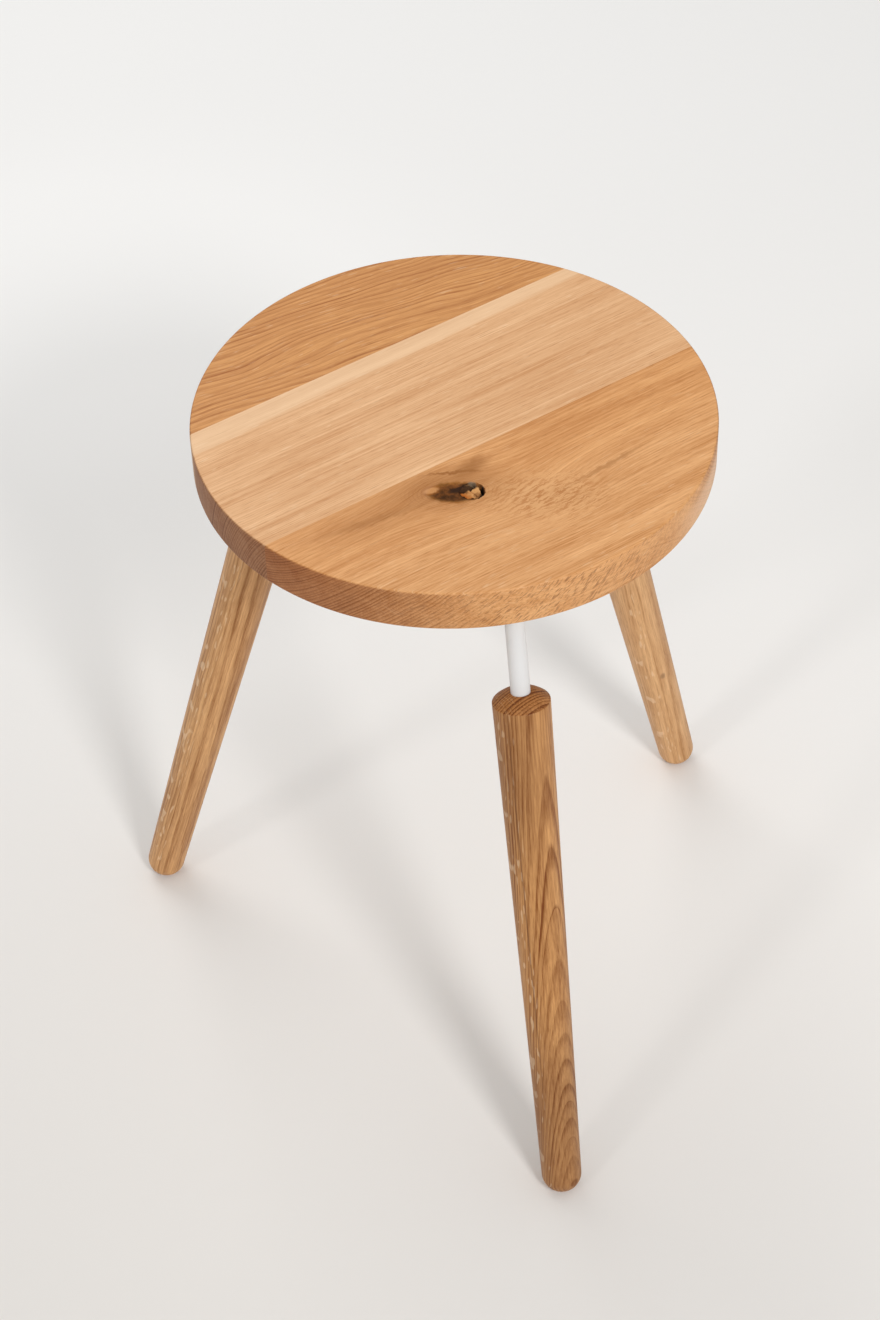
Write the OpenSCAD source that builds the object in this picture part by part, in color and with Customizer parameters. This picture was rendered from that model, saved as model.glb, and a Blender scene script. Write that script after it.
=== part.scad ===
// Low round stool: a seat of three edge-glued oak boards on three splayed, turned oak legs.
// Each leg hangs on a steel rod, clear of the seat. The rods are welded to a flat plate that is
// screwed under the seat.
// Units are millimetres, +Z is up and the front leg points towards -Y. The origin is on the floor,
// under the middle of the whole stool.

/* [Seat] */
// Diameter of the round seat
seat_d = 320; // [300:5:380]
// Thickness of the seat
seat_t = 28; // [26:1:36]
// Height of the seat's top face above the floor
seat_h = 480; // [400:5:560]
// Rounding of the seat's upper and lower edges
seat_edge_r = 1.5; // [0.5:0.25:4]
// Direction that the boards run in, turned from left-right
board_turn = 19.2; // [0:0.1:40]
// Distance from the seat's centre to the joint behind it
rear_joint = 76.5; // [60:0.5:85]
// Distance from the seat's centre to the joint in front of it
front_joint = 34; // [25:0.5:50]

/* [Seat dowels] */
// Diameter of the dowels across the joints
dowel_d = 8; // [6:1:10]
// Length of a dowel
dowel_len = 40; // [30:2:50]
// Distance between neighbouring dowels of a joint
dowel_pitch = 95; // [60:5:95]

/* [Legs] */
// Diameter of a leg just below its domed top end
leg_top_d = 35.5; // [30:0.5:42]
// Diameter of a leg just above its rounded foot
leg_foot_d = 26.5; // [20:0.5:30]
// Rise of the domed top end from its rim to the bore
leg_dome = 6; // [3:0.5:8]
// Chamfer round the rim of a leg's top end
leg_chamfer = 0.8; // [0.2:0.2:3]
// Diameter of the flat that each foot stands on
foot_flat_d = 8; // [4:1:12]

/* [Splay] */
// Lean of the front leg from upright, in degrees
front_lean = 14.2; // [8:0.1:20]
// Lean of the two rear legs from upright, in degrees
rear_lean = 15.7; // [8:0.1:20]
// Distance from the seat's axis to the front rod, at the seat's underside
front_rod_r = 122.5; // [100:0.5:125]
// Distance from the seat's axis to a rear rod, at the seat's underside
rear_rod_r = 104.5; // [100:0.5:125]

/* [Rods] */
// Diameter of the steel rods
rod_d = 12; // [8:1:16]
// Bare rod between the seat's underside and the bore of its leg
rod_bare = 77; // [40:1:120]
// Length of rod held inside the leg
rod_hold = 65; // [40:5:90]
// Chamfer at the mouth of the bore in the leg
bore_chamfer = 0.6; // [0.2:0.1:1]

/* [Mounting plate] */
// Thickness of the plate
plate_t = 4; // [3:0.5:6]
// Diameter of the plate's round middle
plate_d = 190; // [185:1:200]
// Width of the ears that carry the rods
ear_w = 40; // [34:1:50]
// Size of the weld bead round each rod
weld = 4; // [2:0.5:5]

/* [Screws] */
// Number of screws that hold the plate
screw_count = 6; // [3:1:8]
// Diameter of the circle that the screws stand on
screw_circle_d = 170; // [160:1:170]
// Diameter of a screw's shank
screw_d = 4.5; // [4:0.5:5]
// Length of a screw under its head
screw_len = 20; // [16:1:22]
// Diameter of a screw's head
screw_head_d = 9; // [8:0.5:10]
// Height of a screw's head
screw_head_h = 3.2; // [2.6:0.2:4]
// End-to-end length of the slots, which let the seat swell and shrink
slot_len = 9; // [6:0.5:12]

/* [Hidden] */

$fn = 96;

// Direction of each leg, its lean, and where its rod starts: front, right, left.
LEGS = [[-90, front_lean, front_rod_r], [30, rear_lean, rear_rod_r], [150, rear_lean, rear_rod_r]];

OAK_REAR = [0.78, 0.58, 0.38];
OAK_MIDDLE = [0.86, 0.67, 0.47];
OAK_FRONT = [0.80, 0.57, 0.36];
OAK_LEG = [0.66, 0.46, 0.28];
BEECH = [0.85, 0.72, 0.55];
POWDER_WHITE = [0.93, 0.92, 0.90];
ZINC = [0.72, 0.73, 0.75];

seat_r = seat_d / 2;
seat_under_z = seat_h - seat_t;
plate_under_z = seat_under_z - plate_t;
foot_r = leg_foot_d / 2;
// Height of the centre of a foot's ball, which is cut off flat at the floor
foot_centre_h = sqrt(pow(foot_r, 2) - pow(foot_flat_d / 2, 2));
// How far the stool reaches in front of the seat's axis and behind it: the origin is midway
foot_drop = seat_under_z - foot_centre_h;
front_reach = front_rod_r + foot_drop * tan(front_lean) + foot_r;
rear_reach = max(seat_r, (rear_rod_r + foot_drop * tan(rear_lean)) * sin(30) + foot_r);
axis_y = (front_reach - rear_reach) / 2;
// Space left for glue at the end of a bore
glue_gap = 1;
// Space between a screw's shank and the sides of its slot
slot_clearance = 0.5;
// Hexagon recess in a screw's head
drive_d = 4;
drive_depth = 1.8;
// Point of a screw
point_len = 3;
point_d = 0.6;
// Steps in the quarter round of the seat's edges
edge_steps = 4;
// Cutting blocks reach well past the part
far = 500;

// Puts a shape on the seat's own axis.
module on_axis() {
    translate([0, axis_y, 0]) children();
}

// Puts a shape on the seat's axis, with its X along the boards.
module on_boards() {
    on_axis() rotate([0, 0, board_turn]) children();
}

// Puts a shape on a leg's centre line: z = 0 is at the seat's underside and -z is down the leg.
module on_leg(leg) {
    on_axis() rotate([0, 0, leg[0]]) translate([leg[2], 0, seat_under_z]) rotate([0, -leg[1], 0])
        children();
}

// Everything above a height.
module above(z) {
    translate([-far, -far, z]) cube([2 * far, 2 * far, far]);
}

// Everything under the floor.
module under_floor() {
    translate([-far, -far, -far]) cube([2 * far, 2 * far, far]);
}

// Points on a quarter circle round a centre, starting at an angle.
function quarter(centre, r, from) =
    [for (a = [from : 90 / edge_steps : from + 90]) centre + r * [cos(a), sin(a)]];

// Half the seat's cross-section, with rounded edges.
module seat_section() {
    x = seat_r - seat_edge_r;
    polygon(concat([[0, 0]], quarter([x, seat_edge_r], seat_edge_r, -90),
                   quarter([x, seat_t - seat_edge_r], seat_edge_r, 0), [[0, seat_t]]));
}

// Puts a shape at the place of each screw, at the seat's underside and square to the boards.
module at_screws() {
    for (turn = [0 : 360 / screw_count : 359])
        on_axis() rotate([0, 0, turn]) translate([screw_circle_d / 2, 0, seat_under_z])
            rotate([0, 0, board_turn - turn]) children();
}

// A row of cylinders across the glue joints, halfway up the seat.
module dowel_rows(d, length) {
    on_boards() for (y = [-front_joint, rear_joint], x = [-dowel_pitch, 0, dowel_pitch])
        translate([x, y, seat_under_z + seat_t / 2]) rotate([90, 0, 0])
            cylinder(d = d, h = length, center = true);
}

// The part of the round seat between two lines along the boards, bored for dowels and screws.
module seat_board(from_y, to_y) {
    difference() {
        on_boards() intersection() {
            translate([0, 0, seat_under_z]) rotate_extrude() seat_section();
            translate([-far, from_y, 0]) cube([2 * far, to_y - from_y, far + seat_h]);
        }
        dowel_rows(dowel_d, dowel_len + 2 * glue_gap);
        at_screws() cylinder(d = screw_d, h = screw_len - plate_t);
    }
}

module seat_board_rear() {
    color(OAK_REAR) seat_board(rear_joint, far);
}

module seat_board_middle() {
    color(OAK_MIDDLE) seat_board(-front_joint, rear_joint);
}

module seat_board_front() {
    color(OAK_FRONT) seat_board(-far, -front_joint);
}

module seat_dowels() {
    color(BEECH) dowel_rows(dowel_d, dowel_len);
}

// A slot that runs across the boards, because wood moves across its grain.
module slot() {
    width = screw_d + 2 * slot_clearance;
    run = (slot_len - width) / 2;
    translate([0, 0, -plate_t]) {
        for (y = [-run, run])
            translate([0, y, 0]) cylinder(d = width, h = plate_t);
        translate([-width / 2, -run, 0]) cube([width, 2 * run, plate_t]);
    }
}

// Round plate with an ear for each rod.
module mounting_plate() {
    color(POWDER_WHITE) difference() {
        on_axis() translate([0, 0, plate_under_z]) {
            cylinder(d = plate_d, h = plate_t);
            for (leg = LEGS) rotate([0, 0, leg[0]]) {
                translate([0, -ear_w / 2, 0]) cube([leg[2], ear_w, plate_t]);
                translate([leg[2], 0, 0]) cylinder(d = ear_w, h = plate_t);
            }
        }
        at_screws() slot();
    }
}

// Pan-head wood screws with a hexagon recess, seen from below.
module plate_screws() {
    shank_top = screw_len - plate_t;
    rim_h = screw_head_h / 2;
    crown_d = screw_head_d * 0.7;
    color(ZINC) at_screws() difference() {
        union() {
            translate([0, 0, -plate_t]) cylinder(d = screw_d, h = screw_len - point_len);
            translate([0, 0, shank_top - point_len])
                cylinder(d1 = screw_d, d2 = point_d, h = point_len);
            translate([0, 0, -plate_t - rim_h]) cylinder(d = screw_head_d, h = rim_h);
            translate([0, 0, -plate_t - screw_head_h])
                cylinder(d1 = crown_d, d2 = screw_head_d, h = screw_head_h - rim_h);
        }
        translate([0, 0, -plate_t - screw_head_h]) cylinder(d = drive_d, h = drive_depth, $fn = 6);
    }
}

// Fillet welds under the plate. Each is cut by the rod it surrounds and by the plate.
module rod_welds() {
    color(POWDER_WHITE) for (leg = LEGS) difference() {
        on_leg(leg) translate([0, 0, -plate_t - weld])
            cylinder(d1 = rod_d, d2 = rod_d + 4 * weld, h = 2 * weld);
        on_leg(leg) translate([0, 0, -rod_bare]) cylinder(d = rod_d, h = 2 * rod_bare);
        above(plate_under_z);
    }
}

// A straight rod from the plate down into its leg.
module rod(leg) {
    length = rod_bare + rod_hold;
    color(POWDER_WHITE) difference() {
        on_leg(leg) translate([0, 0, -length]) cylinder(d = rod_d, h = length + rod_d);
        above(plate_under_z);
    }
}

module rod_front() {
    rod(LEGS[0]);
}

module rod_right() {
    rod(LEGS[1]);
}

module rod_left() {
    rod(LEGS[2]);
}

// Half the lengthwise section of a leg, whose ball foot is centred at z = 0. The dome on its
// top end is part of a sphere through the rim and through the edge of the bore at z = length.
module leg_section(length) {
    top_r = leg_top_d / 2;
    rim_r = top_r - leg_chamfer;
    rim_z = length - leg_dome;
    below_rim = (rim_r * rim_r - rod_d * rod_d / 4 - leg_dome * leg_dome) / (2 * leg_dome);
    polygon([[0, 0], [foot_r, 0], [top_r, rim_z - leg_chamfer], [rim_r, rim_z], [0, rim_z]]);
    intersection() {
        translate([0, rim_z - below_rim]) circle(r = norm([rim_r, below_rim]));
        translate([0, rim_z]) square(leg_top_d);
    }
    intersection() {
        circle(r = foot_r);
        translate([0, -leg_foot_d]) square(leg_foot_d);
    }
}

// A turned leg, bored from its top end for the rod and flat where it meets the floor.
module leg(leg) {
    ball_depth = foot_drop / cos(leg[1]);
    bore = rod_hold + glue_gap;
    color(OAK_LEG) difference() {
        on_leg(leg) translate([0, 0, -ball_depth]) rotate_extrude()
            leg_section(ball_depth - rod_bare);
        on_leg(leg) translate([0, 0, -rod_bare - bore]) cylinder(d = rod_d, h = bore + leg_dome);
        on_leg(leg) translate([0, 0, -rod_bare - bore_chamfer])
            cylinder(d1 = rod_d, d2 = rod_d + 4 * bore_chamfer, h = 2 * bore_chamfer);
        under_floor();
    }
}

module leg_front() {
    leg(LEGS[0]);
}

module leg_right() {
    leg(LEGS[1]);
}

module leg_left() {
    leg(LEGS[2]);
}

seat_board_rear();
seat_board_middle();
seat_board_front();
seat_dowels();
mounting_plate();
plate_screws();
rod_welds();
rod_front();
rod_right();
rod_left();
leg_front();
leg_right();
leg_left();
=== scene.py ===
"""The looks of a three-legged oak stool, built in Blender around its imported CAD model.

Shapes are in metres. Materials count in millimetres: u runs along the grain, v and w lie across it.
"""

import math

import bmesh
import bpy
import numpy as np
from mathutils import Matrix, Vector, noise
from mathutils.geometry import delaunay_2d_cdt


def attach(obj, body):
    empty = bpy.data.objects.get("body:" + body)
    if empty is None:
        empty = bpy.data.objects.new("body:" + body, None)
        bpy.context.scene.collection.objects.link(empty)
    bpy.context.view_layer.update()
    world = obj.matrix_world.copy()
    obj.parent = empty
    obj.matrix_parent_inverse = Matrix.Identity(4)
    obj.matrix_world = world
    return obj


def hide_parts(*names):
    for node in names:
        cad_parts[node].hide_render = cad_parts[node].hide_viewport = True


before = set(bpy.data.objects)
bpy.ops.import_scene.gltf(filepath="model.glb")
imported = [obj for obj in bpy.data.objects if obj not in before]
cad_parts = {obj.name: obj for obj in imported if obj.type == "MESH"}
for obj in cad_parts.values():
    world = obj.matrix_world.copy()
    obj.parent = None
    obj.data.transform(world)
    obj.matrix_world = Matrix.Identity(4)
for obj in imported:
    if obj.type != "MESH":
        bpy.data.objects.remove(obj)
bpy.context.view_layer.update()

MM = 0.001
CLOSE = 1e-5
SIDES = ("front", "right", "left")


# ---- Measures, all taken from the CAD meshes ----

def points(node):
    """A CAD node's vertices, one row each."""
    return np.array([v.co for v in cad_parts[node].data.vertices])


def middle(rows):
    """The middle of the box round some points."""
    return Vector((rows.min(0) + rows.max(0)) / 2)


def solids(node):
    """The points of each separate solid of a CAD node, such as each of its screws."""
    bm = bmesh.new()
    bm.from_mesh(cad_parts[node].data)
    bmesh.ops.remove_doubles(bm, verts=bm.verts, dist=1e-6)
    seen = set()
    found = []
    for first in bm.verts:
        if first in seen:
            continue
        seen.add(first)
        grown = [first]
        for vert in grown:
            for edge in vert.link_edges:
                other = edge.other_vert(vert)
                if other not in seen:
                    seen.add(other)
                    grown.append(other)
        found.append(np.array([v.co for v in grown]))
    bm.free()
    return found


def measure_seat():
    """The seat's place, size and joints. Its matrix puts X along the boards, at the underside's middle."""
    boards = [points("seat_board_" + name) for name in ("rear", "middle", "front")]
    rows = np.vstack(boards)
    centre = middle(rows)
    low = rows[:, 2].min()
    high = rows[:, 2].max()
    upright = [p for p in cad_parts["seat_board_rear"].data.polygons if abs(p.normal.z) < 0.01]
    joint_face = max(upright, key=lambda p: p.area)
    turn = math.atan2(joint_face.normal.x, -joint_face.normal.y)
    matrix = Matrix.Translation((centre.x, centre.y, low)) @ Matrix.Rotation(turn, 4, "Z")
    across = matrix.to_3x3().inverted().row[1]
    offset = across.dot(Vector((centre.x, centre.y, 0)))
    joints = [(boards[k] @ np.array(across)) - offset for k in (2, 0)]
    on_top = rows[rows[:, 2] > high - CLOSE]
    flat_r = np.hypot(on_top[:, 0] - centre.x, on_top[:, 1] - centre.y).max()
    radius = (rows[:, 0].max() - rows[:, 0].min()) / 2
    return {"matrix": matrix, "radius": radius, "thick": high - low, "edge": radius - flat_r,
            "front_joint": joints[0].max(), "rear_joint": joints[1].min(),
            "along": matrix.to_3x3().col[0].copy(), "under": low}


def measure_leg(side):
    """A leg's and its rod's sizes. The leg's matrix has its bore's mouth at Z = 0 and -Y outward."""
    rod = points("rod_" + side)
    plate_under = rod[:, 2].max()
    halfway = (plate_under + rod[:, 2].min()) / 2
    start = middle(rod[rod[:, 2] > plate_under - CLOSE])
    low_ring = rod[rod[:, 2] < halfway]
    end = middle(low_ring)
    down = (end - start).normalized()
    rows = points("leg_" + side)
    s = (rows - np.array(start)) @ np.array(down)
    r = np.linalg.norm(rows - np.array(start) - np.outer(s, down), axis=1)
    top = start + down * s.min()
    mouth = r[s < s.min() + CLOSE]
    dome = s < s[r > r.max() - CLOSE].min() - CLOSE
    rim_r = float(r[dome].max())
    rise = float(s[dome & (r > rim_r - CLOSE)].min() - s.min())
    floor = rows[rows[:, 2] < CLOSE]
    stand = middle(floor)
    flat_r = (floor[:, 0].max() - floor[:, 0].min()) / 2
    level = Vector((down.x, down.y, 0))
    reach = (stand - top).dot(level) / level.dot(level)
    ball_z = (top + down * reach).z
    rod_r = float(np.linalg.norm(low_ring - np.array(end), axis=1).max())
    bored = s[(abs(r - rod_r) < 2 * CLOSE) & (s < s.mean())]
    right = Vector((0, 0, 1)).cross(level.normalized())
    matrix = Matrix.Identity(3)
    matrix.col[0] = right
    matrix.col[1] = (-down).cross(right)
    matrix.col[2] = -down
    matrix = Matrix.Translation(top) @ matrix.to_4x4()
    return {"matrix": matrix, "start": start, "down": down, "gap": float(s.min()),
            "top_r": float(r.max()), "rim_r": rim_r, "rise": rise, "mouth_r": float(mouth.max()),
            "ball_r": math.hypot(ball_z, flat_r), "ball_at": -float(reach),
            "bore": float(bored.max() - s.min()), "rod_r": rod_r, "plate_under": plate_under,
            "rod_end": (end - top).length}


def measure_screw(rows):
    """A screw's place on the seat's underside, its tip's height above that, and its thread's radius."""
    foot = middle(rows)
    foot.z = seat["under"]
    shank = rows[rows[:, 2] > seat["under"] + 2 * MM]
    return foot, rows[:, 2].max() - seat["under"], (shank[:, 0].max() - shank[:, 0].min()) / 2


seat = measure_seat()
legs = {side: measure_leg(side) for side in SIDES}


# ---- Mesh helpers ----

def bridge(bm, a, b):
    """Faces between two rings of vertices. A ring of one vertex closes the surface to a point."""
    n = max(len(a), len(b))
    for k in range(n):
        corners = [a[k % len(a)], a[(k + 1) % len(a)], b[(k + 1) % len(b)], b[k % len(b)]]
        kept = [c for i, c in enumerate(corners) if c not in corners[:i]]
        bm.faces.new(kept)


def skin(bm, rings):
    """Faces from each ring of vertices to the next."""
    for a, b in zip(rings, rings[1:]):
        bridge(bm, a, b)


def lathe(bm, profile, steps, matrix=Matrix.Identity(4)):
    """A surface turned round Z through (height, radius) points. A radius may be a function of the angle."""
    rings = []
    for z, r in profile:
        if r == 0:
            rings.append([bm.verts.new(matrix @ Vector((0, 0, z)))])
            continue
        ring = []
        for k in range(steps):
            a = 2 * math.pi * k / steps
            out = r(a) if callable(r) else r
            ring.append(bm.verts.new(matrix @ Vector((out * math.cos(a), out * math.sin(a), z))))
        rings.append(ring)
    skin(bm, rings)


def eased_section(ease, low, high, steps):
    """A flat piece's edge as (inset, height) points, with a quarter round below and another above."""
    section = []
    for k in range(steps + 1):
        a = math.pi / 2 * k / steps
        section.append((ease * (1 - math.sin(a)), low + ease * (1 - math.cos(a))))
    return section + [(inset, high + low - z) for inset, z in reversed(section)]


def fill(bm, loops, inner=(), height=None):
    """Triangles between flat loops of vertices, and through inner points whose z comes from height."""
    verts = [v for loop in loops for v in loop]
    edges = []
    for loop in loops:
        first = verts.index(loop[0])
        n = len(loop)
        edges += [(first + k, first + (k + 1) % n) for k in range(n)]
    flat = [Vector((v.co.x, v.co.y)) for v in verts] + [Vector(p) for p in inner]
    co, _, faces, sources, _, _ = delaunay_2d_cdt(flat, edges, [], 2, 1e-8)
    made = []
    for place, source in zip(co, sources):
        known = [k for k in source if k < len(verts)]
        if known:
            made.append(verts[known[0]])
        else:
            made.append(bm.verts.new((place.x, place.y, height(place.x, place.y))))
    for face in faces:
        bm.faces.new([made[k] for k in face])


def cut_flat(bm, matrix, z, keep_above):
    """Cuts a turned piece level at a height in the stool's own frame, and closes the cut."""
    back = matrix.inverted()
    place = back @ (matrix @ Vector((0, 0, 0)) * Vector((1, 1, 0)) + Vector((0, 0, z)))
    normal = back.to_3x3() @ Vector((0, 0, 1 if keep_above else -1))
    cut = bmesh.ops.bisect_plane(bm, geom=bm.verts[:] + bm.edges[:] + bm.faces[:], dist=1e-7,
                                 plane_co=place, plane_no=normal, clear_inner=True)
    rim = [e for e in cut["geom_cut"] if isinstance(e, bmesh.types.BMEdge)]
    bmesh.ops.edgeloop_fill(bm, edges=rim)


def keep_level_faces_flat(mesh):
    """Marks the edges between level faces and others as sharp, so eased edges don't shade the flats."""
    level_beside = {}
    for face in mesh.polygons:
        for key in face.edge_keys:
            level_beside.setdefault(key, set()).add(abs(face.normal.z) > 0.99999)
    for edge in mesh.edges:
        if len(level_beside[edge.key]) == 2:
            edge.use_edge_sharp = True


def to_mesh(bm, name):
    """Turns a finished bmesh into a mesh."""
    mesh = bpy.data.meshes.new(name)
    bm.to_mesh(mesh)
    bm.free()
    return mesh


def add_object(name, data):
    """A new object in the scene, for a mesh, a lamp or a lens."""
    made = bpy.data.objects.new(name, data)
    bpy.context.scene.collection.objects.link(made)
    return made


def piece(name, bm, material, node, matrix=Matrix.Identity(4), sharp=32, cutter=None):
    """Makes a finished piece from a bmesh. It rides on the stool and stands for a CAD node."""
    bmesh.ops.recalc_face_normals(bm, faces=bm.faces)
    mesh = to_mesh(bm, name)
    mesh.transform(matrix)
    made = add_object(name, mesh)
    if cutter:
        cut_holes(made, cutter)
    made.data.shade_smooth()
    made.data.set_sharp_from_angle(angle=math.radians(sharp))
    keep_level_faces_flat(made.data)
    made.data.materials.clear()
    made.data.materials.append(material)
    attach(made, "root")
    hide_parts(node)
    return made


def cut_holes(made, cutter):
    """Takes another mesh object's shape out of a piece, for good."""
    change = made.modifiers.new("holes", "BOOLEAN")
    change.operation = "DIFFERENCE"
    change.solver = "MANIFOLD"
    change.object = cutter
    bpy.context.view_layer.update()
    ready = made.evaluated_get(bpy.context.evaluated_depsgraph_get())
    mesh = bpy.data.meshes.new_from_object(ready)
    made.modifiers.clear()
    made.data = mesh
    mesh.name = made.name


# ---- Node helpers ----

class Value:
    """A number or vector in a material. Sums and products of it add the material's maths nodes."""

    def __init__(self, graph, socket):
        self.graph = graph
        self.socket = socket

    def __add__(self, other):
        return self.graph.math("ADD", self, other)

    def __radd__(self, other):
        return self.graph.math("ADD", other, self)

    def __sub__(self, other):
        return self.graph.math("SUBTRACT", self, other)

    def __rsub__(self, other):
        return self.graph.math("SUBTRACT", other, self)

    def __mul__(self, other):
        return self.graph.math("MULTIPLY", self, other)

    def __rmul__(self, other):
        return self.graph.math("MULTIPLY", other, self)

    def __truediv__(self, other):
        return self.graph.math("DIVIDE", self, other)


class Graph:
    """Adds nodes to a new material, one short call at a time."""

    def __init__(self, name):
        self.material = bpy.data.materials.new(name)
        self.material.use_nodes = True
        self.tree = self.material.node_tree
        self.shader = self.tree.nodes["Principled BSDF"]

    def put(self, socket, value):
        """Links a value to a socket, or sets the socket to a plain number, vector or colour."""
        if isinstance(value, Value):
            self.tree.links.new(value.socket, socket)
        else:
            socket.default_value = value

    def add(self, kind, output, inputs, **settings):
        node = self.tree.nodes.new("ShaderNode" + kind)
        for key, value in settings.items():
            setattr(node, key, value)
        for key, value in inputs.items():
            self.put(node.inputs[key], value)
        return Value(self, node.outputs[output])

    def math(self, operation, *numbers):
        return self.add("Math", 0, dict(enumerate(numbers)), operation=operation)

    def vector(self, x, y, z):
        return self.add("CombineXYZ", 0, {0: x, 1: y, 2: z})

    def split(self, vector):
        first = self.add("SeparateXYZ", 0, {0: vector})
        node = first.socket.node
        return first, Value(self, node.outputs[1]), Value(self, node.outputs[2])

    def noise(self, place, detail=2.0, roughness=0.5, distortion=0.0, scale=1.0):
        """Soft noise from about 0.2 to 0.8 that has its middle at 0.5."""
        return self.add("TexNoise", 0, {"Vector": place, "Scale": scale, "Detail": detail,
                                        "Roughness": roughness, "Distortion": distortion})

    def smooth(self, value, low, high, start=0.0, end=1.0):
        """Goes softly from start to end as a value goes from low to high."""
        return self.add("MapRange", 0, {0: value, 1: low, 2: high, 3: start, 4: end},
                        interpolation_type="SMOOTHSTEP")

    def mix(self, share, a, b, blend="MIX"):
        return self.add("Mix", 2, {0: share, 6: a, 7: b}, data_type="RGBA", blend_type=blend)

    def spot(self, place, centre, size, turn=0.0, soft=0.6):
        """1 inside an oval on the u-v plane and 0 outside it. Soft is the share of its size that fades."""
        near = self.add("Mapping", 0, {"Vector": place, "Location": (*centre, 0.0),
                                       "Rotation": (0.0, 0.0, math.radians(turn)),
                                       "Scale": (*size, 1.0)}, vector_type="TEXTURE")
        out = self.add("VectorMath", 1, {0: near}, operation="LENGTH")
        return self.smooth(out, 1.0 - soft, 1.0 + soft, 1.0, 0.0)

    def finish(self, colour, roughness, height, depth):
        """Sets what the shader shows. Depth is the bump's depth in metres."""
        self.put(self.shader.inputs["Base Color"], colour)
        self.put(self.shader.inputs["Roughness"], roughness)
        bump = self.add("Bump", 0, {"Strength": 1.0, "Distance": depth, "Height": height})
        self.put(self.shader.inputs["Normal"], bump)
        return self.material


def colour(red, green, blue):
    """A colour given as 0 to 255 screen values, as Blender's linear colour."""
    def linear(value):
        c = value / 255
        return c / 12.92 if c <= 0.04045 else ((c + 0.055) / 1.055) ** 2.4
    return (linear(red), linear(green), linear(blue), 1.0)


# ---- Oak ----

def millimetres(g, matrix=Matrix.Identity(4), turn=0.0):
    """Coordinates in millimetres in a matrix's frame, turned about its own Z axis by degrees."""
    own = g.add("TexCoord", "Object", {})
    matrix = matrix @ Matrix.Rotation(math.radians(turn), 4, "Z")
    return g.add("Mapping", 0, {"Vector": own, "Location": matrix.translation,
                                "Rotation": matrix.to_euler(), "Scale": (MM, MM, MM)},
                 vector_type="TEXTURE")


OAK_RELIEF = 0.00006
OAK_SHINE = 0.35


def year_rings(g, u, out, ring):
    """Up to 1 in a year's open early wood and 0 in its late wood. Out is the distance from the pith."""
    uneven = g.noise(g.vector(out / (ring * 4.0), u / 900, 0.0), detail=1.0) - 0.5
    years = out / ring + uneven * 3.0
    part = g.math("FRACT", years)
    year = g.add("TexWhiteNoise", 0, {"W": years - part}, noise_dimensions="1D")
    early = g.math("MAXIMUM", g.smooth(part, 0.0, 0.6, 1.0, 0.0), g.smooth(part, 0.9, 1.0))
    return early * (0.3 + 0.7 * year)


def facing(g, way, low, high, start=0.0, end=1.0):
    """Goes from start to end as the surface turns to face along a way in the stool, or against it."""
    normal = g.add("NewGeometry", "Normal", {})
    share = g.add("VectorMath", 1, {0: normal, 1: tuple(way)}, operation="DOT_PRODUCT")
    return g.smooth(g.math("ABSOLUTE", share), low, high, start, end)


def rim_hatch(g, u, v, w):
    """Short slanting strokes of torn grain for the seat's rim, fewer to the right."""
    slant = g.noise(g.vector((u + w) / 7, (u - w) / 1.3, v / 25), detail=2.0)
    return g.smooth(slant, 0.5, 0.68) * g.smooth(u, -10.0, 80.0, 0.6, 0.1)


def oak(g, u, v, w, along, look):
    """Oak's colour, roughness, relief and share of end grain at a place in its log.

    Along is the grain's way in the stool. Side and rise are measured from the pith, which the rings run
    round, and far is how many millimetres round the log one radian counts for the rays.
    """
    bend = g.noise(g.vector(u / 210, v / 45, w / 45), detail=1.0) - 0.5
    side = v + bend * look["bend"] - look["pith"][0]
    rise = w + bend * look["bend"] * 0.6 - look["pith"][1]
    out = g.math("SQRT", side * side + rise * rise)
    early = year_rings(g, u, out, look["ring"])
    fibre = g.noise(g.vector(u / look["length"], side / 1.1, rise / 1.1), detail=4.0, roughness=0.66)
    broad = g.noise(g.vector(u / 130, side / look["patch"], rise / look["patch"]), detail=2.0)
    fine = g.noise(g.vector(u / 9, side / 0.55, rise / 0.55), detail=2.0, roughness=0.6)
    pore = g.smooth(fine, 0.56, 0.72) * (0.25 + 0.75 * early)
    turned = g.math("ARCTAN2", rise, side) * look["far"]
    sheet = g.noise(g.vector(turned / 0.55, out / 14, u / 10), detail=0.5)
    ray = g.smooth(sheet, look["ray_from"], look["ray_from"] + 0.08)
    rim = facing(g, (0.0, 0.0, 1.0), 0.3, 0.8, 1.0, 0.0) * look["open"]
    end = facing(g, along, 0.35, 1.0)
    dark = (fibre - 0.5) * look["fibre"] + (broad - 0.5) * look["broad"] + (fine - 0.5) * 0.7
    dark = dark + (early - 0.25) * look["rings"] * (1.0 + look["cut"] * end) + 0.5
    wood = g.mix(g.math("MINIMUM", g.math("MAXIMUM", dark, -0.3), 1.3), look["light"], look["deep"])
    wood.socket.node.clamp_factor = False
    wood = g.mix(ray * look["rays"], wood, look["ray"])
    wood = g.mix(pore * look["pores"] * (1.0 + 0.6 * rim), wood, look["pore"])
    wood = g.mix(rim_hatch(g, u, v, w) * rim * (1.0 - 0.8 * end), wood, look["pore"])
    wood = g.mix(early * end * 0.18 * look["cut"], wood, look["pore"])
    wood = g.mix(end * 0.75, wood, look["end"], "MULTIPLY")
    rough = 0.5 + 0.22 * (fibre - 0.5) + 0.18 * pore - 0.08 * ray + 0.12 * end
    relief = 0.6 + 0.5 * (fibre - 0.5) - 0.6 * pore - 0.12 * early
    g.shader.inputs["Specular IOR Level"].default_value = OAK_SHINE
    return wood, rough, relief, end


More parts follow.
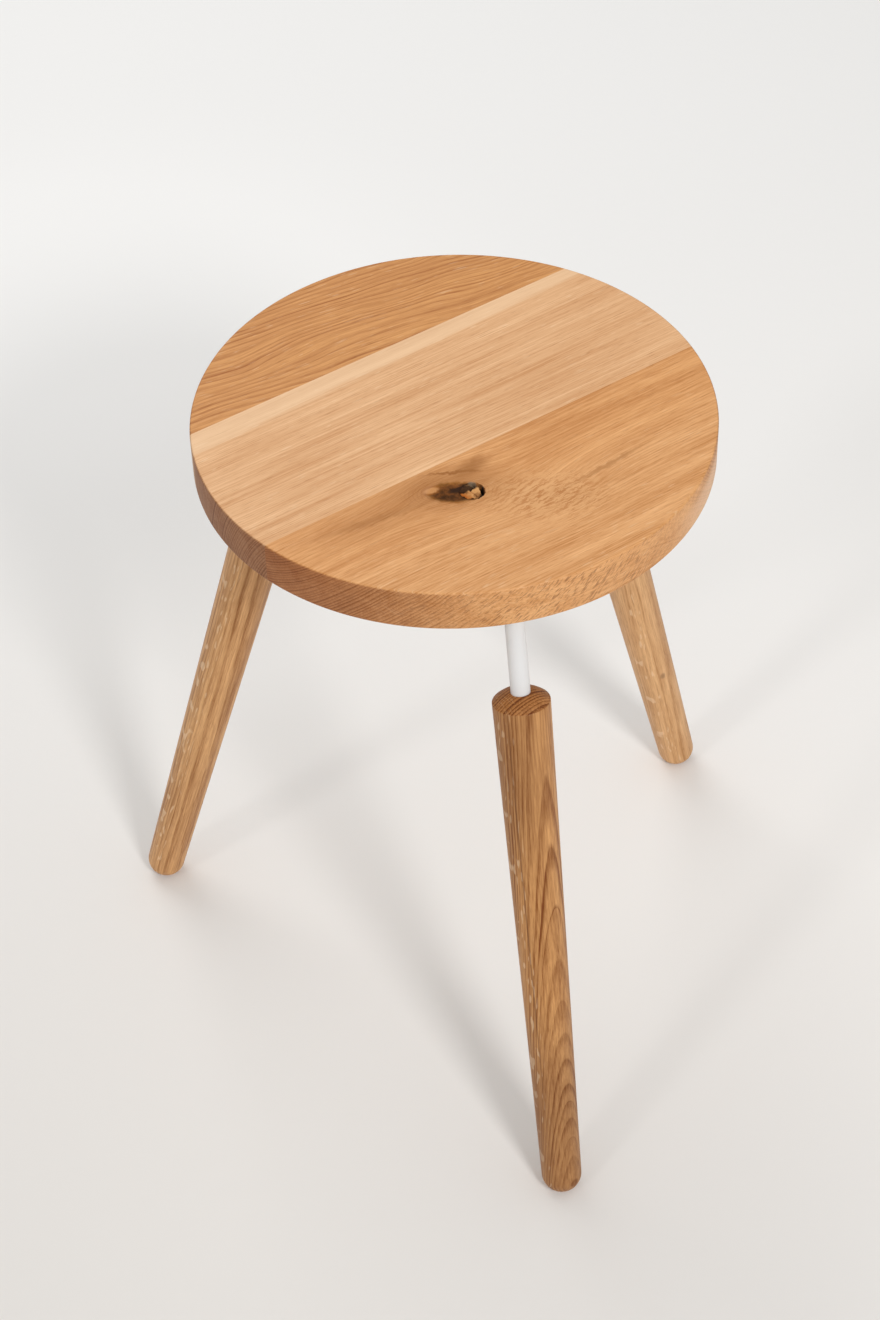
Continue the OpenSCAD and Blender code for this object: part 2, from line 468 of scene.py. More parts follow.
# A board's oak. In millimetres: how far the rings stray (bend), how long the fibres are (length) and how
# wide the broad tones (patch). As strengths: fibre, broad, rings, rays and pores, with the rings' extra on
# end grain (cut) and the rim's hatching (open). Rays show where their noise is over ray_from.
OAK = {"cut": 2.5, "bend": 6.0, "far": 180.0, "length": 90.0, "patch": 11.0, "fibre": 2.2, "broad": 1.2,
       "rings": 0.5, "rays": 0.25, "ray_from": 0.68, "pores": 0.42, "open": 1.0, "pore": colour(128, 78, 40),
       "ray": colour(238, 205, 165), "end": colour(190, 170, 150)}


def oak_middle():
    """The pale, straight-grained board, with sapwood against the joint behind it."""
    g = Graph("oak_middle")
    place = millimetres(g, seat["matrix"])
    u, v, w = g.split(place)
    look = {**OAK, "pith": (-150.0, -60.0), "ring": 1.6, "bend": 3.0, "rings": 0.3, "length": 110.0,
            "broad": 1.7, "light": colour(229, 182, 135), "deep": colour(201, 145, 94),
            "end": colour(146, 104, 72)}
    wood, rough, relief, end = oak(g, u, v, w, seat["along"], look)
    edge = seat["rear_joint"] / MM - 14.0 + 0.026 * u
    wander = g.noise(g.vector(u / 60, v / 3, w / 3), detail=3.0) - 0.5
    sap = g.smooth(v + wander * 9.0 - edge, -2.5, 2.5)
    wood = g.mix(sap * (0.6 - 0.35 * end), wood, colour(236, 199, 158))
    torn = g.noise(g.vector(u / 12, v / 0.8, 0.0), detail=3.0)
    for centre, size, turn, depth in (((-106.0, 57.0), (16.0, 1.5), -1.0, 0.9),
                                      ((-41.0, 54.0), (30.0, 1.8), -1.5, 0.85),
                                      ((108.0, 50.0), (36.0, 1.8), 0.5, 0.85),
                                      ((122.0, 29.0), (34.0, 1.4), -0.5, 0.8),
                                      ((-119.0, -20.0), (24.0, 1.3), -3.0, 0.9),
                                      ((-24.0, -18.0), (19.0, 1.2), -2.0, 0.7)):
        line = g.spot(place, centre, size, turn)
        wood = g.mix(line * g.smooth(torn, 0.25, 0.55) * depth, wood, colour(160, 102, 54))
    return g.finish(wood, rough, relief, OAK_RELIEF)


def oak_rear():
    """The honey-brown board behind, whose gently waving lines fall away to the right."""
    g = Graph("oak_rear")
    place = millimetres(g, seat["matrix"])
    u, v, w = g.split(place)
    wave = g.noise(g.vector(u / 95, v / 40, w / 40), detail=1.5) - 0.5
    v = v + 0.12 * u + wave * 22.0
    look = {**OAK, "pith": (-10.0, -60.0), "ring": 3.4, "bend": 4.0, "rings": 0.85, "patch": 6.0,
            "fibre": 1.8, "broad": 1.1, "length": 26.0, "light": colour(212, 151, 88),
            "deep": colour(176, 112, 54)}
    wood, rough, relief, end = oak(g, u, v, w, seat["along"], look)
    return g.finish(wood, rough, relief, OAK_RELIEF)


# The middles of the knot, of its loose heart and of the small eye beside it, as u and v.
KNOT = (-41.0, -60.5)
CORE = (-33.0, -64.8)
EYE = (-51.0, -50.8)


def oak_front():
    """The warm board in front, whose grain bends round the knot and dips beside it at the lower right."""
    g = Graph("oak_front")
    place = millimetres(g, seat["matrix"])
    u, v, w = g.split(place)
    at_u = u - KNOT[0]
    at_v = v - KNOT[1]
    near = g.math("EXPONENT", 0.0 - at_u * at_u / 900.0 - at_v * at_v / 420.0)
    dip_u = u - 4.0
    dip_v = v + 92.0
    dip = g.math("EXPONENT", 0.0 - dip_u * dip_u / 1100.0 - dip_v * dip_v / 700.0)
    bent = v - at_v * near * 0.85 + dip * 9.0
    look = {**OAK, "pith": (6.0, 105.0), "ring": 1.8, "bend": 5.0, "rings": 0.3, "length": 22.0,
            "fibre": 1.7, "broad": 1.5, "light": colour(228, 172, 116), "deep": colour(194, 132, 73),
            "end": colour(164, 118, 78)}
    wood, rough, relief, end = oak(g, u, bent, w, seat["along"], look)
    on_top = g.smooth(w, 14.0, 24.0)
    warm = g.smooth(v, -105.0, -60.0) * on_top
    wood = g.mix(warm * 0.8, wood, colour(249, 241, 226), "MULTIPLY")
    pale = g.spot(place, (-45.0, -118.0), (75.0, 26.0), -6.0, 0.9) * on_top
    wood = g.mix(pale * 0.35, wood, colour(236, 188, 138))
    # Painted highlight: the rim is painted paler towards its right end, where the key light grazes it.
    painted_highlight_right_rim = g.smooth(u, 40.0, 115.0) * (1.0 - on_top)
    wood = g.mix(painted_highlight_right_rim * (0.66 - 0.3 * end), wood, colour(244, 208, 174))
    wood, bark = knot_colours(g, wood, u, v, w, on_top)
    g.put(g.shader.inputs["Specular IOR Level"], OAK_SHINE - 0.32 * bark)
    return g.finish(wood, rough, relief, OAK_RELIEF)


def knot_colours(g, wood, u, v, w, on_top):
    """The knot's bark, heart and gap, with painted shade in the gap, and the dark figure in the wood about
    it.
    """
    flat = g.vector(u, v, 0.0)
    fuzz = g.noise(g.vector(u / 4, v / 4, w / 8), detail=3.0) - 0.5
    wobbly = g.vector(u + fuzz * 7.0, v + fuzz * 5.0, 0.0)
    close = g.vector(u + fuzz * 3.0, v + fuzz * 2.5, 0.0)
    wood = swirl(g, wood, close, KNOT, 0.56, 2.6, (27.0, 17.0), on_top)
    wood = swirl(g, wood, close, EYE, 0.55, 3.4, (11.0, 7.5), on_top)
    for centre, size, turn, depth, soft in (((-38.0, -57.0), (30.0, 15.0), -30.0, 0.55, 0.8),
                                            ((-92.0, -53.0), (30.0, 3.0), -9.0, 0.4, 0.7),
                                            ((-75.0, -52.0), (48.0, 15.0), -4.0, 0.3, 0.9),
                                            ((-20.0, -47.0), (11.0, 5.0), 10.0, 0.75, 0.8),
                                            ((3.0, -96.0), (24.0, 9.0), -36.0, 0.3, 0.8),
                                            ((42.0, -93.5), (30.0, 1.7), 4.0, 0.5, 0.6),
                                            ((-31.0, -45.5), (16.0, 1.4), -27.0, 1.0, 0.6)):
        mark = g.spot(wobbly, centre, size, turn, soft)
        wood = g.mix(mark * depth * on_top, wood, colour(152, 92, 26))
    ripple_at = g.add("Mapping", 0, {"Vector": wobbly, "Rotation": (0.0, 0.0, math.radians(-50.0)),
                                     "Scale": (0.16, 1.0, 1.0)}, vector_type="POINT")
    strokes = g.noise(ripple_at, detail=3.0, roughness=0.55, scale=0.75)
    feather = g.mix(g.smooth(strokes, 0.38, 0.56), colour(178, 112, 52), colour(220, 166, 110))
    spread = g.spot(flat, (2.0, -94.0), (34.0, 19.0), -30.0, 0.7)
    wood = g.mix(spread * 0.65 * on_top, wood, feather)
    bark = g.mix(g.smooth(fuzz, -0.2, 0.2), colour(50, 29, 16), colour(112, 66, 32))
    amber = g.mix(g.smooth(u + fuzz * 8.0, -38.5, -33.0), colour(176, 98, 36), colour(205, 152, 96))
    amber = g.mix(g.smooth(fuzz, 0.0, 0.16) * 0.6, amber, colour(120, 70, 34))
    for centre, size, turn, depth, soft, tone in (
            (KNOT, (15.8, 8.4), -32.0, 0.94, 0.25, bark),
            (EYE, (6.0, 3.8), -12.0, 0.5, 0.3, colour(160, 98, 46)),
            ((-51.3, -50.8), (4.4, 2.3), -12.0, 0.7, 0.35, colour(210, 152, 98)),
            # Painted shade: a near-black oval behind the amber heart darkens the gap round it, most at the
            # lower right where the mesh sinks the gap.
            ((CORE[0] + 0.6, CORE[1] - 0.6), (7.6, 7.2), -30.0, 1.0, 0.08, colour(26, 17, 12)),
            (CORE, (6.3, 5.9), -30.0, 1.0, 0.08, amber),
            ((-35.0, -60.3), (9.0, 2.5), -18.0, 0.94, 0.25, colour(52, 34, 24)),
            ((-28.4, -60.0), (2.6, 1.6), -40.0, 0.8, 0.3, colour(116, 98, 78))):
        mark = g.spot(close, centre, size, turn, soft)
        wood = g.mix(mark * depth * on_top, wood, tone)
    return wood, g.spot(close, KNOT, (16.5, 9.4), -32.0, 0.1) * on_top


def swirl(g, wood, place, centre, ratio, rate, size, on_top):
    """Darkens fine lines that run round an oval. Ratio is its height over its width."""
    oval = g.add("Mapping", 0, {"Vector": place, "Location": (*centre, 0.0), "Scale": (1.0, ratio, 1.0),
                                "Rotation": (0.0, 0.0, math.radians(-30.0))}, vector_type="TEXTURE")
    out = g.add("VectorMath", 1, {0: oval}, operation="LENGTH")
    lines = g.smooth(g.math("SINE", out * rate), 0.1, 1.0) * g.spot(place, centre, size, -30.0, 0.5)
    return g.mix(lines * 0.32 * on_top, wood, colour(150, 88, 36))


def oak_leg(side, face, pith, ring, strength, rise, light, deep, marks):
    """A leg's oak. Face turns the side that shows its arches, in degrees from straight outwards.

    Pith is the distance from the leg's middle to its log's pith, ring a year's width, strength how dark the
    rings are, and rise how fast they slant. Marks are dark spots: degrees round from the arches, distance
    down the leg, size and depth.
    """
    mid_r = 17.0
    g = Graph("oak_leg_" + side)
    place = millimetres(g, legs[side]["matrix"], face)
    x, y, z = g.split(place)
    u = 0.0 - z
    wave = g.noise(g.vector(u / 60, x / 30, y / 30), detail=2.0) - 0.5
    flecked = g.smooth(g.math("ABSOLUTE", x) / g.math("SQRT", x * x + y * y), 0.8, 0.97)
    look = {**OAK, "pith": (0.0, 0.0), "ring": ring, "bend": 2.0, "far": pith, "rings": strength,
            "cut": 0.8, "length": 40.0, "patch": 7.0, "rays": flecked * 0.45, "ray_from": 0.61,
            "pores": 0.55, "open": 0.0, "light": light, "deep": deep, "end": colour(200, 176, 140)}
    away = pith - y + rise * (0.5 * u + 0.003 * u * u) + wave * 2.0
    wood, rough, relief, end = oak(g, u, x, away, legs[side]["down"], look)
    around = g.math("ARCTAN2", x, 0.0 - y) * mid_r
    for degrees, at, size, depth in marks:
        centre = (math.radians(degrees) * mid_r, at)
        mark = g.spot(g.vector(around, u, 0.0), centre, size)
        wood = g.mix(mark * depth * (1.0 - end), wood, colour(104, 62, 30))
    return g.finish(wood, rough, relief, OAK_RELIEF)


# ---- Steel, beech and the floor ----

def white_steel():
    """Matt white powder coat with its fine orange-peel skin."""
    g = Graph("white_powder_coat")
    place = millimetres(g)
    peel = g.noise(place, detail=2.0, scale=1.6)
    cloud = g.noise(place, detail=2.0, scale=0.02)
    grime = g.noise(place, detail=4.0, scale=0.12)
    tone = g.mix(g.smooth(cloud, 0.3, 0.7), colour(220, 221, 221), colour(227, 227, 227))
    tone = g.mix(g.smooth(grime, 0.6, 0.8) * 0.12, tone, colour(196, 190, 182))
    return g.finish(tone, 0.42 + 0.12 * peel, peel, 0.00003)


def zinc_steel():
    """Zinc-plated steel, a little uneven and dulled."""
    g = Graph("zinc_plate")
    place = millimetres(g)
    cloud = g.noise(place, detail=4.0, scale=0.5)
    scuff = g.noise(place, detail=3.0, scale=4.0)
    tone = g.mix(g.smooth(cloud, 0.3, 0.7), colour(176, 179, 184), colour(206, 207, 208))
    g.shader.inputs["Metallic"].default_value = 1.0
    return g.finish(tone, 0.26 + 0.3 * scuff, scuff, 0.00002)


def beech():
    """Beech for the hidden dowels, with its small dark flecks."""
    g = Graph("beech")
    turned = g.add("Mapping", 0, {"Vector": millimetres(g), "Scale": (1.0, 1.0, 0.12),
                                  "Rotation": (math.radians(90.0), 0.0, 0.0)}, vector_type="POINT")
    fleck = g.noise(turned, detail=3.0, scale=0.9)
    tone = g.mix(g.smooth(fleck, 0.35, 0.7), colour(226, 190, 150), colour(190, 142, 98))
    return g.finish(tone, 0.5 + 0.2 * fleck, fleck, 0.00004)


def pale_floor():
    """A pale studio floor with the faintest unevenness. Its colour carries painted light: brighter towards
    the back, painted shade at the front left, and a painted pool of light where the seat's shadow falls.
    """
    g = Graph("floor")
    own = g.add("TexCoord", "Object", {})
    x, y, z = g.split(own)
    # Painted light: the floor's colour brightens towards the back, standing in for the lamps' falloff.
    back = g.smooth(y - 0.12 * x, -0.9, 1.4)
    # Painted shade: this mask darkens the floor's colour at the front left, where less light falls.
    left = g.smooth(x + 0.15 * y, -0.8, 0.5, 1.0, 0.0)
    tone = g.mix(back, colour(237, 234, 230), colour(238, 237, 235))
    # Painted light: a paler spot on the floor behind the stool fills in the seat's own cast shadow.
    painted_light_in_seat_shadow = g.spot(own, (-0.16, 0.8), (0.3, 0.24), 0.0, 0.7)
    tone = g.mix(painted_light_in_seat_shadow * 0.6, tone, colour(248, 247, 245))
    tone = g.mix(left * (1.0 - back) * 0.6, tone, colour(194, 189, 182))
    grain = g.noise(own, detail=5.0, roughness=0.6, scale=60.0)
    return g.finish(tone, 0.75 + 0.1 * grain, grain, 0.0002)


# ---- Pieces ----

def outline(low, high, inset):
    """A board's outline from above, anticlockwise: round where the seat ends and straight at joints."""
    r = seat["radius"] - inset
    from_a = math.asin(max(low / r, -1.0))
    to_a = math.asin(min(high / r, 1.0))
    steps = max(24, int(r * (to_a - from_a) / (2 * MM)))
    right = [from_a + (to_a - from_a) * k / steps for k in range(steps + 1)]
    left = [math.pi - a for a in reversed(right)]
    places = [(r * math.cos(a), r * math.sin(a)) for a in right]
    if high < r:
        places += straight(places[-1], (-places[-1][0], places[-1][1]))
        places += [(r * math.cos(a), r * math.sin(a)) for a in left]
    else:
        places += [(r * math.cos(a), r * math.sin(a)) for a in left[1:]]
    if low > -r:
        places += straight(places[-1], places[0])
    else:
        places.pop()
    return places


def straight(a, b, steps=40):
    """Points evenly between two points, without either."""
    return [(a[0] + (b[0] - a[0]) * k / steps, a[1] + (b[1] - a[1]) * k / steps)
            for k in range(1, steps)]


def soft_step(value, low, high):
    """0 below low and 1 above high, or the other way round if low is above high."""
    t = min(max((value - low) / (high - low), 0.0), 1.0)
    return t * t * (3 - 2 * t)


def in_oval(x, y, centre, size, turn):
    """How far out a place is in an oval, with 1 on its rim, and the way to it from the centre in degrees."""
    a = math.radians(turn)
    dx = x - centre[0]
    dy = y - centre[1]
    along = (dx * math.cos(a) + dy * math.sin(a)) / size[0]
    across = (-dx * math.sin(a) + dy * math.cos(a)) / size[1]
    return math.hypot(along, across), math.degrees(math.atan2(dy, dx))


def knot_height(x, y):
    """How high the seat's top is at a place, with the knot's sunken, cracked and partly loose heart."""
    u = x / MM
    v = y / MM
    rough = noise.noise(Vector((u * 0.45, v * 0.45, 1.5)))
    finer = noise.noise(Vector((u * 1.3, v * 1.3, 7.5)))
    wide, _ = in_oval(u + rough, v + finer * 0.5, KNOT, (15.5, 8.2), -32.0)
    out, angle = in_oval(u + rough * 0.8, v + finer * 0.5, CORE, (6.6, 6.2), -30.0)
    depth = 0.35 * soft_step(wide, 1.1, 0.8) * (1.0 + 0.8 * rough + 0.6 * finer)
    inside = soft_step(out, 1.04, 0.94)
    depth += inside * (0.5 + 0.5 * rough + 0.25 * finer)
    lower_right = soft_step(math.cos(math.radians(angle + 42.0)), -0.15, 0.5)
    gap = soft_step(out, 0.9, 1.0) * soft_step(out, 1.1 + 0.22 * lower_right, 1.02 + 0.16 * lower_right)
    depth += 5.0 * gap * lower_right
    for way, width in ((150.0, 0.24), (35.0, 0.2), (-80.0, 0.16)):
        a = math.radians(way)
        across = abs(-(u - CORE[0]) * math.sin(a) + (v - CORE[1]) * math.cos(a) + rough)
        ahead = (u - CORE[0]) * math.cos(a) + (v - CORE[1]) * math.sin(a)
        depth += 1.4 * inside * soft_step(across, 0.5 + width, width) * soft_step(ahead, -0.5, 0.8)
    return seat["thick"] - max(depth, 0.0) * MM


def knot_points():
    """A fine, even net of places over the knot."""
    step = 0.3
    us = np.arange(KNOT[0] - 19.0, KNOT[0] + 21.0, step)
    vs = np.arange(KNOT[1] - 15.5, KNOT[1] + 12.5, step)
    return [(u * MM, v * MM) for u in us for v in vs]


def seat_cutter():
    """All the bores in the seat, for dowels and screws, as one shape to cut with."""
    bm = bmesh.new()
    for rows in solids("seat_dowels"):
        half = (rows[:, 2].max() - rows[:, 2].min()) / 2
        across = seat["matrix"].to_3x3().col[1]
        reach = (rows @ np.array(across)).max() - (rows @ np.array(across)).min()
        turn = across.to_track_quat("Z", "Y").to_matrix().to_4x4()
        length = reach / 2 + 1 * MM
        lathe(bm, [(-length, 0), (-length, half), (length, half), (length, 0)], 32,
              Matrix.Translation(middle(rows)) @ turn)
    for rows in solids("plate_screws"):
        foot, tip, r = measure_screw(rows)
        lathe(bm, [(-1 * MM, 0), (-1 * MM, r), (tip, r), (tip, 0)], 24, Matrix.Translation(foot))
    bmesh.ops.recalc_face_normals(bm, faces=bm.faces)
    return add_object("cutter", to_mesh(bm, "cutter"))


def board(name, low, high, material, cutter, knotty=False):
    """One seat board with the seat's rounded rim and plain joint faces, bored for dowels and screws."""
    bm = bmesh.new()
    rings = []
    for inset, z in eased_section(seat["edge"], 0.0, seat["thick"], 6):
        rings.append([bm.verts.new((x, y, z)) for x, y in outline(low, high, inset)])
    skin(bm, rings)
    fill(bm, [rings[0]])
    if knotty:
        fill(bm, [rings[-1]], knot_points(), knot_height)
    else:
        fill(bm, [rings[-1]])
    return piece("board_" + name, bm, material, "seat_board_" + name,
                 seat["matrix"], cutter=cutter)


def domed_end(leg):
    """The profile of a leg's top end: part of a sphere from the bore's mouth out, and its eased rim."""
    rise = leg["rise"]
    rim_r = leg["rim_r"]
    ease = leg["top_r"] - rim_r
    below = (rim_r ** 2 - leg["mouth_r"] ** 2 - rise ** 2) / (2 * rise)
    dome_r = math.hypot(rim_r, below)
    profile = []
    for k in range(17):
        r = leg["mouth_r"] + (rim_r - leg["mouth_r"]) * k / 16
        profile.append((math.sqrt(dome_r ** 2 - r ** 2) - below - rise, r))
    corner = math.pi / 4
    for k in range(1, 5):
        a = corner * (1 + k / 4)
        drop = 1 - math.cos(a) / math.cos(corner)
        out = (math.sin(a) - math.sin(corner)) / (1 - math.sin(corner))
        profile.append((-rise - ease * drop, rim_r + ease * out))
    return profile


def turned_leg(side, material):
    """A turned leg: domed and bored at its top end, tapering to a ball foot that is flat below."""
    leg = legs[side]
    bm = bmesh.new()
    mouth = leg["mouth_r"] - leg["rod_r"]
    profile = [(-leg["bore"], 0), (-leg["bore"], leg["rod_r"]), (-mouth, leg["rod_r"])]
    profile += domed_end(leg)
    taper_from = -leg["rise"] - (leg["top_r"] - leg["rim_r"])
    ball = leg["ball_r"]
    steps = 60
    for k in range(1, steps + 1):
        t = k / steps
        z = taper_from * (1 - t) + leg["ball_at"] * t
        profile.append((z, leg["top_r"] + (ball - leg["top_r"]) * t))
    for k in range(1, 24):
        a = math.pi / 2 * k / 24
        profile.append((leg["ball_at"] - ball * math.sin(a), ball * math.cos(a)))
    profile.append((leg["ball_at"] - ball, 0))
    lathe(bm, profile, 96)
    cut_flat(bm, leg["matrix"], 0.0, True)
    return piece("turned_leg_" + side, bm, material, "leg_" + side, leg["matrix"])


def steel_rod(side, material):
    """A rod from the plate down into its leg, cut level under the plate and chamfered at its lower end."""
    leg = legs[side]
    bm = bmesh.new()
    r = leg["rod_r"]
    chamfer = 0.5 * MM
    end = -leg["rod_end"]
    high = leg["gap"] + r
    profile = [(end, 0), (end, r - chamfer), (end + chamfer, r)]
    profile += [(end + chamfer + (high - end) * k / 20, r) for k in range(1, 21)]
    profile.append((profile[-1][0], 0))
    lathe(bm, profile, 64)
    cut_flat(bm, leg["matrix"], leg["plate_under"], False)
    return piece("steel_rod_" + side, bm, material, "rod_" + side, leg["matrix"])


def plate_edges():
    """The loops round the mounting plate and its holes, with the plate's lower and upper height."""
    bm = bmesh.new()
    bm.from_mesh(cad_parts["mounting_plate"].data)
    bmesh.ops.remove_doubles(bm, verts=bm.verts, dist=1e-6)
    low = min(v.co.z for v in bm.verts)
    high = max(v.co.z for v in bm.verts)
    under = [f for f in bm.faces if all(abs(v.co.z - low) < 1e-6 for v in f.verts)]
    rim = {e for f in under for e in f.edges if sum(g in under for g in e.link_faces) == 1}
    loops = []
    while rim:
        edge = min(rim, key=lambda e: e.index)
        rim.remove(edge)
        loop = [edge.verts[0], edge.verts[1]]
        while True:
            after = [e for e in loop[-1].link_edges if e in rim]
            if not after:
                break
            rim.remove(after[0])
            loop.append(after[0].other_vert(loop[-1]))
        loops.append([v.co.copy() for v in loop[:-1]])
    bm.free()
    return loops, low, high


def into_metal(loop, is_outer):
    """At each point of a loop, the level way from the edge into the plate's metal."""
    area = sum(a.x * b.y - b.x * a.y for a, b in zip(loop, loop[1:] + loop[:1]))
    inward = (1 if area > 0 else -1) * (1 if is_outer else -1)
    ways = []
    for k in range(len(loop)):
        run = loop[(k + 1) % len(loop)] - loop[k - 1]
        ways.append(Vector((-run.y, run.x, 0)).normalized() * inward)
    return ways


def plate(material):
    """The mounting plate from its CAD shape, with its cut edges eased."""
    loops, low, high = plate_edges()
    section = eased_section(0.6 * MM, low, high, 3)
    widest = max(loops, key=lambda loop: max(p.x for p in loop))
    bm = bmesh.new()
    lower = []
    upper = []
    for loop in loops:
        ways = into_metal(loop, loop is widest)
        rings = []
        for inset, z in section:
            rings.append([bm.verts.new((p.x + way.x * inset, p.y + way.y * inset, z))
                          for p, way in zip(loop, ways)])
        skin(bm, rings)
        lower.append(rings[0])
        upper.append(rings[-1])
    fill(bm, lower)
    fill(bm, upper)
    return piece("plate", bm, material, "mounting_plate")


def bead_section(leg, a):
    """A weld's corners and rippled face at an angle round a leg's rod."""
    down = leg["down"]
    reach = leg["rod_r"] * 0.62
    ripples = 30
    level = Vector((math.cos(a), math.sin(a), 0))
    lean = level.dot(down)
    at_rod = leg["start"] + level * (leg["rod_r"] / math.sqrt(1 - lean * lean))
    toe = at_rod + level * reach
    heel = at_rod + down * reach
    out = (level - down * lean).normalized() + down
    section = [at_rod, toe]
    for j in range(1, 8):
        t = j / 8
        beat = a / (2 * math.pi) * ripples + 0.7 * (2 * t - 1) ** 2
        step = 0.5 - 0.5 * math.cos(2 * math.pi * (beat % 1.0) ** 0.7)
        swell = math.sin(math.pi * t) * (0.25 + 0.28 * step) * MM
        section.append(toe.lerp(heel, t) + out.normalized() * swell)
    section.append(heel)
    return section


def welds(material):
    """Fillet welds round the rods, with the ripples of a bead run by hand, under the powder coat."""
    bm = bmesh.new()
    steps = 180
    for side in SIDES:
        rings = []
        for k in range(steps):
            section = bead_section(legs[side], 2 * math.pi * k / steps)
            rings.append([bm.verts.new(p) for p in section])
        skin(bm, rings + rings[:1])
    return piece("welds", bm, material, "rod_welds", sharp=60)


def hexagon(angle):
    """The radius of a screw's hexagon recess at an angle round it."""
    corner_r = 2.0 * MM
    return corner_r * math.cos(math.pi / 6) / math.cos(angle % (math.pi / 3) - math.pi / 6)


def screw_head(low, bearing, head_r, shank_r):
    """The profile of a pan head from its recess out and up to the shank."""
    rim_r = 2.6 * MM
    profile = [(low + 1.9 * MM, 0), (low + 1.7 * MM, hexagon), (low + 0.15 * MM, hexagon),
               (low + 0.02 * MM, 2.35 * MM), (low, rim_r)]
    for k in range(1, 9):
        a = math.pi / 2 * k / 8
        profile.append((low + (bearing - low) * 0.72 * (1 - math.cos(a)),
                        rim_r + (head_r - rim_r) * math.sin(a)))
    return profile + [(bearing - 0.1 * MM, head_r), (bearing, head_r - 0.1 * MM), (bearing, shank_r)]


def screw_thread(bearing, tip, r):
    """The profile of a screw's thread, whose radius turns with its pitch, and of its point."""
    pitch = 1.8 * MM
    profile = []
    z = bearing + 2.0 * MM
    while z < tip - 0.4 * MM:
        slim = min(1.0, (tip - z) / (4.0 * MM)) * 0.95 + 0.05

        def thread(angle, z=z, slim=slim):
            beat = abs((z / pitch + angle / (2 * math.pi)) % 1.0 - 0.5) * 2
            return r * slim * (0.68 + 0.32 * max(0.0, 1 - beat / 0.55))

        profile.append((z, thread))
        z += pitch / 8
    return profile + [(tip, 0)]


def screws(material):
    """Pan-head wood screws with a hexagon recess and a real thread."""
    bm = bmesh.new()
    bearing = legs["front"]["plate_under"] - seat["under"]
    for rows in solids("plate_screws"):
        foot, tip, r = measure_screw(rows)
        low = rows[:, 2].min() - seat["under"]
        head = rows[rows[:, 2] < seat["under"] - 4.5 * MM]
        head_r = (head[:, 0].max() - head[:, 0].min()) / 2
        profile = screw_head(low, bearing, head_r, r * 0.8) + screw_thread(bearing, tip, r)
        lathe(bm, profile, 48, Matrix.Translation(foot))
    return piece("screws", bm, material, "plate_screws", sharp=40)


# ---- The studio ----

def studio_floor(material):
    """A wide level floor, a hair below the feet. It isn't part of the stool."""
    bm = bmesh.new()
    bmesh.ops.create_grid(bm, x_segments=24, y_segments=24, size=12.0)
    floor = add_object("floor", to_mesh(bm, "floor"))
    floor.data.materials.append(material)
    floor.location.z = -0.2 * MM


def add_lamp(lamp, place, back):
    """Puts a lamp at a place, with its light running against the way back."""
    made = add_object(lamp.name, lamp)
    made.location = place
    made.rotation_euler = back.to_track_quat("Z", "Y").to_euler()


def softbox(name, place, aim, size, power):
    """A round lamp at a place, facing the point that it is aimed at."""
    lamp = bpy.data.lights.new(name, "AREA")
    lamp.shape = "DISK"
    lamp.size = size
    lamp.energy = power
    add_lamp(lamp, place, Vector(place) - Vector(aim))


def sun(name, azimuth, elevation, strength, size):
    """A far light that shines from an azimuth and elevation, in degrees, with a soft edge."""
    lamp = bpy.data.lights.new(name, "SUN")
    lamp.energy = strength
    lamp.angle = math.radians(size)
    a = math.radians(azimuth)
    e = math.radians(elevation)
    back = Vector((math.cos(a) * math.cos(e), math.sin(a) * math.cos(e), math.sin(e)))
    add_lamp(lamp, back * 3, back)


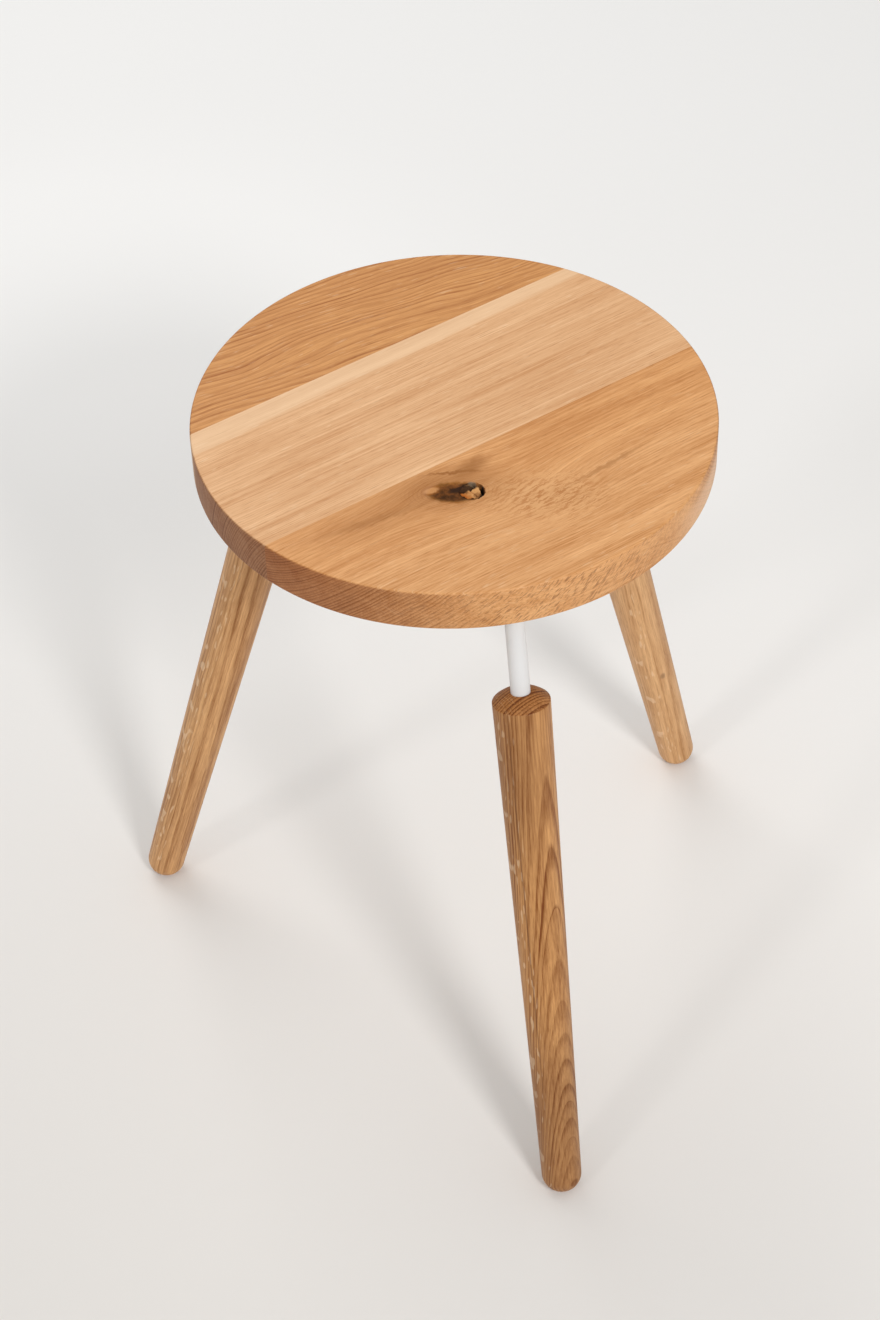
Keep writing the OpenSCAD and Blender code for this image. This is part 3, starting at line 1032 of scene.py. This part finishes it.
def studio_light():
    """Even light all round, a key light in front, one over the floor behind and a weak sun at the left."""
    world = bpy.data.worlds.new("studio")
    world.use_nodes = True
    background = world.node_tree.nodes["Background"]
    background.inputs["Color"].default_value = (1.0, 1.0, 1.0, 1.0)
    background.inputs["Strength"].default_value = 0.57
    bpy.context.scene.world = world
    softbox("key_light", (0.54, -2.68, 2.5), (0.0, 0.0, 0.2), 0.7, 51.0)
    softbox("back_light", (-0.5, 1.8, 2.4), (-0.3, 1.0, 0.0), 1.8, 21.0)
    sun("side_light", -148.6, 34.5, 0.28, 8.0)
    bpy.context.scene.view_settings.view_transform = "Standard"


def camera():
    """The camera, high in front of the stool and a little to its left, looking down at it."""
    place = (-0.33298, -1.2352, 1.57595)
    heading = math.radians(-14.028)
    down = math.radians(44.667)
    tilt = math.radians(-1.842)
    lens = bpy.data.cameras.new("camera")
    lens.lens = 77.05
    lens.sensor_width = 36.0
    lens.sensor_fit = "AUTO"
    turn = (Matrix.Rotation(heading, 4, "Z") @ Matrix.Rotation(math.pi / 2 - down, 4, "X")
            @ Matrix.Rotation(tilt, 4, "Z"))
    made = add_object("camera", lens)
    made.matrix_world = Matrix.Translation(place) @ turn
    bpy.context.scene.camera = made


# ---- Building ----

cutter = seat_cutter()
board("rear", seat["rear_joint"], seat["radius"], oak_rear(), cutter)
board("middle", seat["front_joint"], seat["rear_joint"], oak_middle(), cutter)
board("front", -seat["radius"], seat["front_joint"], oak_front(), cutter, knotty=True)
bpy.data.objects.remove(cutter)

turned_leg("front", oak_leg("front", 25.0, 60.0, 2.2, 0.95, 0.052, colour(200, 145, 88),
                            colour(142, 87, 36), [(-70.0, 150.0, (0.5, 160.0), 0.6),
                                                  (-60.0, 40.0, (16.0, 70.0), 0.3),
                                                  (0.0, 350.0, (60.0, 90.0), 0.4)]))
turned_leg("right", oak_leg("right", -60.0, 60.0, 3.0, 0.5, 0.01, colour(222, 174, 122),
                            colour(184, 132, 80), [(-47.0, 262.0, (2.2, 3.0), 0.5)]))
turned_leg("left", oak_leg("left", 144.0, 90.0, 3.4, 0.7, 0.003, colour(215, 164, 110),
                           colour(162, 110, 61), []))

powder = white_steel()
for side in SIDES:
    steel_rod(side, powder)
plate(powder)
welds(powder)
screws(zinc_steel())
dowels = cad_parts["seat_dowels"]
dowels.data.materials.clear()
dowels.data.materials.append(beech())

studio_floor(pale_floor())
studio_light()
camera()
